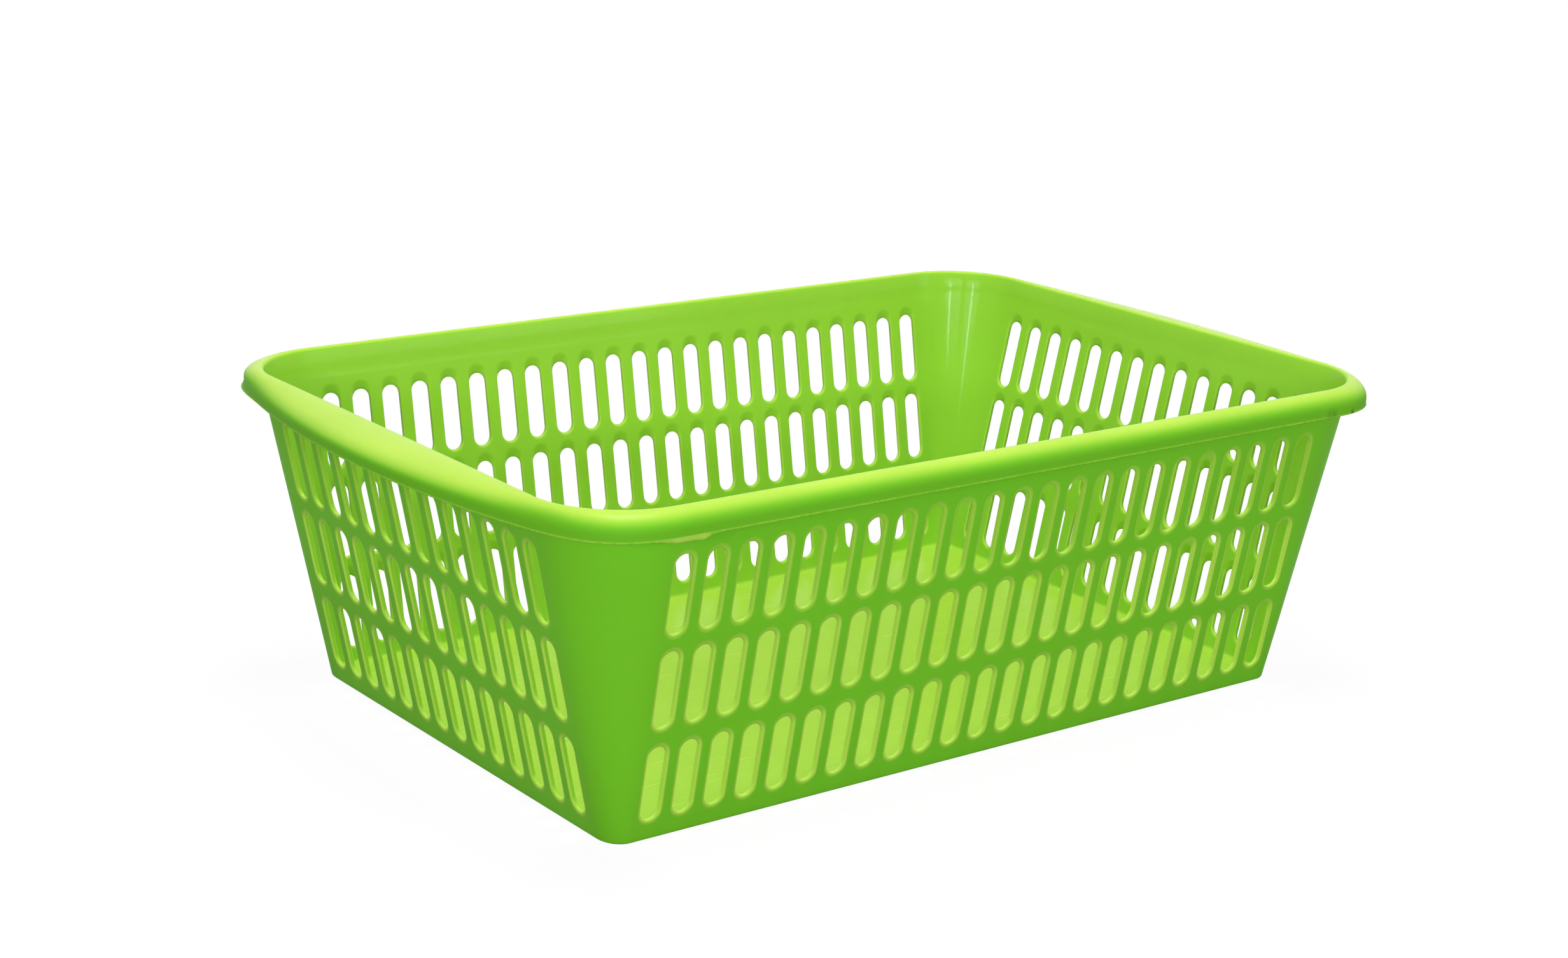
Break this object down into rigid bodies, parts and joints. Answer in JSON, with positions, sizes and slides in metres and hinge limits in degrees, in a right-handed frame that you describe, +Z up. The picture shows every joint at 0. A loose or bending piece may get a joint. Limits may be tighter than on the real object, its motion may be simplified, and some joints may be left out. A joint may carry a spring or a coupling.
{
  "type": "slotted storage basket",
  "caption": "Rectangular plastic storage basket with slotted, tapering walls, a solid floor and a hollow rolled rim that bows out on the short sides as grips.",
  "frame": {"origin": "middle of the underside, at the height of the surface the basket stands on", "axes": "+X along the long side, +Y to the back, +Z up"},
  "size_m": [0.3996, 0.2602, 0.1239],
  "materials": {
    "green_plastic": "glossy moulded polypropylene, slightly translucent"
  },
  "bodies": {
    "root": {"floor": "green_plastic", "front_wall": "green_plastic", "back_wall": "green_plastic", "left_wall": "green_plastic", "right_wall": "green_plastic", "front_left_corner": "green_plastic", "front_right_corner": "green_plastic", "back_right_corner": "green_plastic", "back_left_corner": "green_plastic", "front_rim": "green_plastic", "back_rim": "green_plastic", "left_grip_rim": "green_plastic", "right_grip_rim": "green_plastic", "front_left_rim_bend": "green_plastic", "front_right_rim_bend": "green_plastic", "back_right_rim_bend": "green_plastic", "back_left_rim_bend": "green_plastic"}
  },
  "joints": []
}
